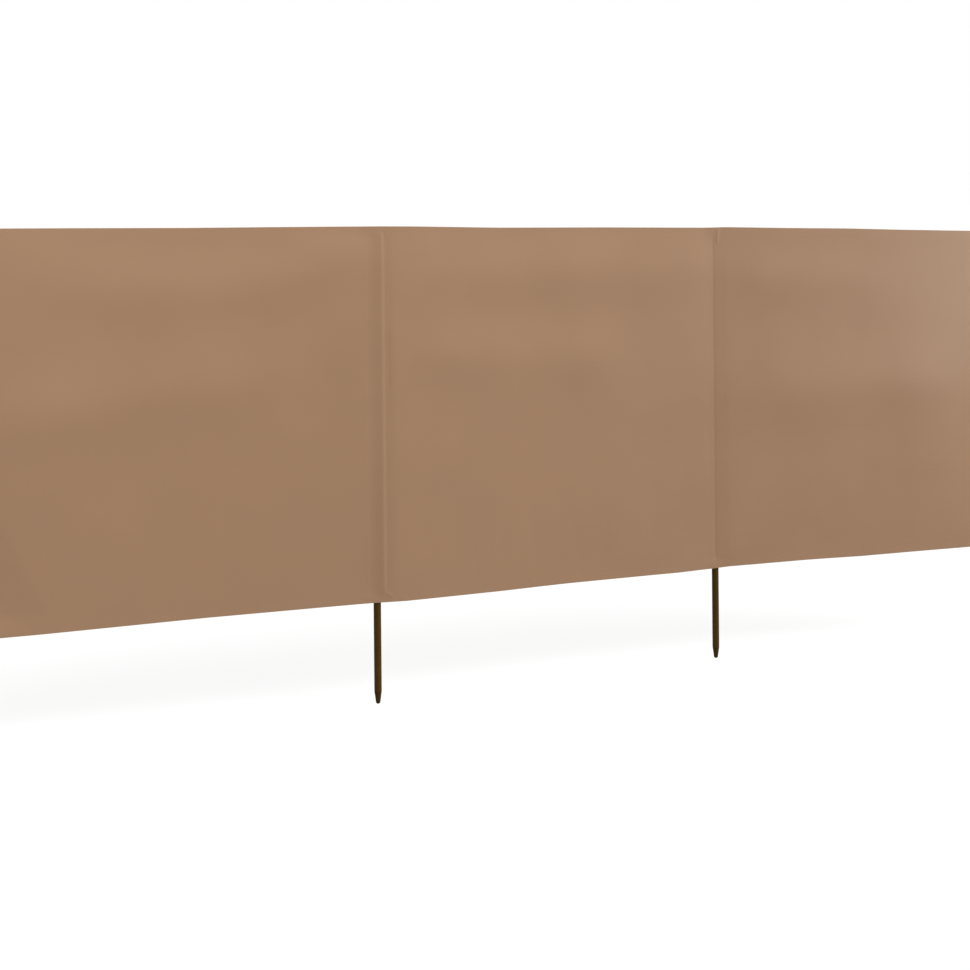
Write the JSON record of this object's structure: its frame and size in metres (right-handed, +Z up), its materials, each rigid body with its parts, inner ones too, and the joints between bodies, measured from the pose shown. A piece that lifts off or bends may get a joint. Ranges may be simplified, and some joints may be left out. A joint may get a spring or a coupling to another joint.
{
  "type": "fabric windbreak",
  "caption": "Low fabric windbreak: taupe cloth in equal bays on dark round stakes that slide into sewn pockets and have tapered points for the ground.",
  "frame": {"origin": "centre of the blunt point of the first stake, at the left end seen from the front", "axes": "+X along the row of stakes, -Y towards the front, +Z up"},
  "size_m": [3.9967, 0.0958, 1.525],
  "materials": {
    "cloth": "plain polyester weave, matt",
    "hem": "folded and stitched polyester, matt",
    "pocket": "doubled and stitched polyester, matt",
    "stake": "dark brown powder coat, satin",
    "point": "dark brown moulded plastic",
    "plug": "dark brown moulded plastic"
  },
  "bodies": {
    "root": {"bottom_hem_1": "hem", "bottom_hem_2": "hem", "bottom_hem_3": "hem", "cloth_bay_1": "cloth", "cloth_bay_2": "cloth", "cloth_bay_3": "cloth", "stake_plug_1": "plug", "stake_plug_2": "plug", "stake_plug_3": "plug", "stake_plug_4": "plug", "stake_pocket_1": "pocket", "stake_pocket_2": "pocket", "stake_pocket_3": "pocket", "stake_pocket_4": "pocket", "stake_point_1": "point", "stake_point_2": "point", "stake_point_3": "point", "stake_point_4": "point", "stake_tube_1": "stake", "stake_tube_2": "stake", "stake_tube_3": "stake", "stake_tube_4": "stake", "top_hem_1": "hem", "top_hem_2": "hem", "top_hem_3": "hem"}
  },
  "joints": []
}
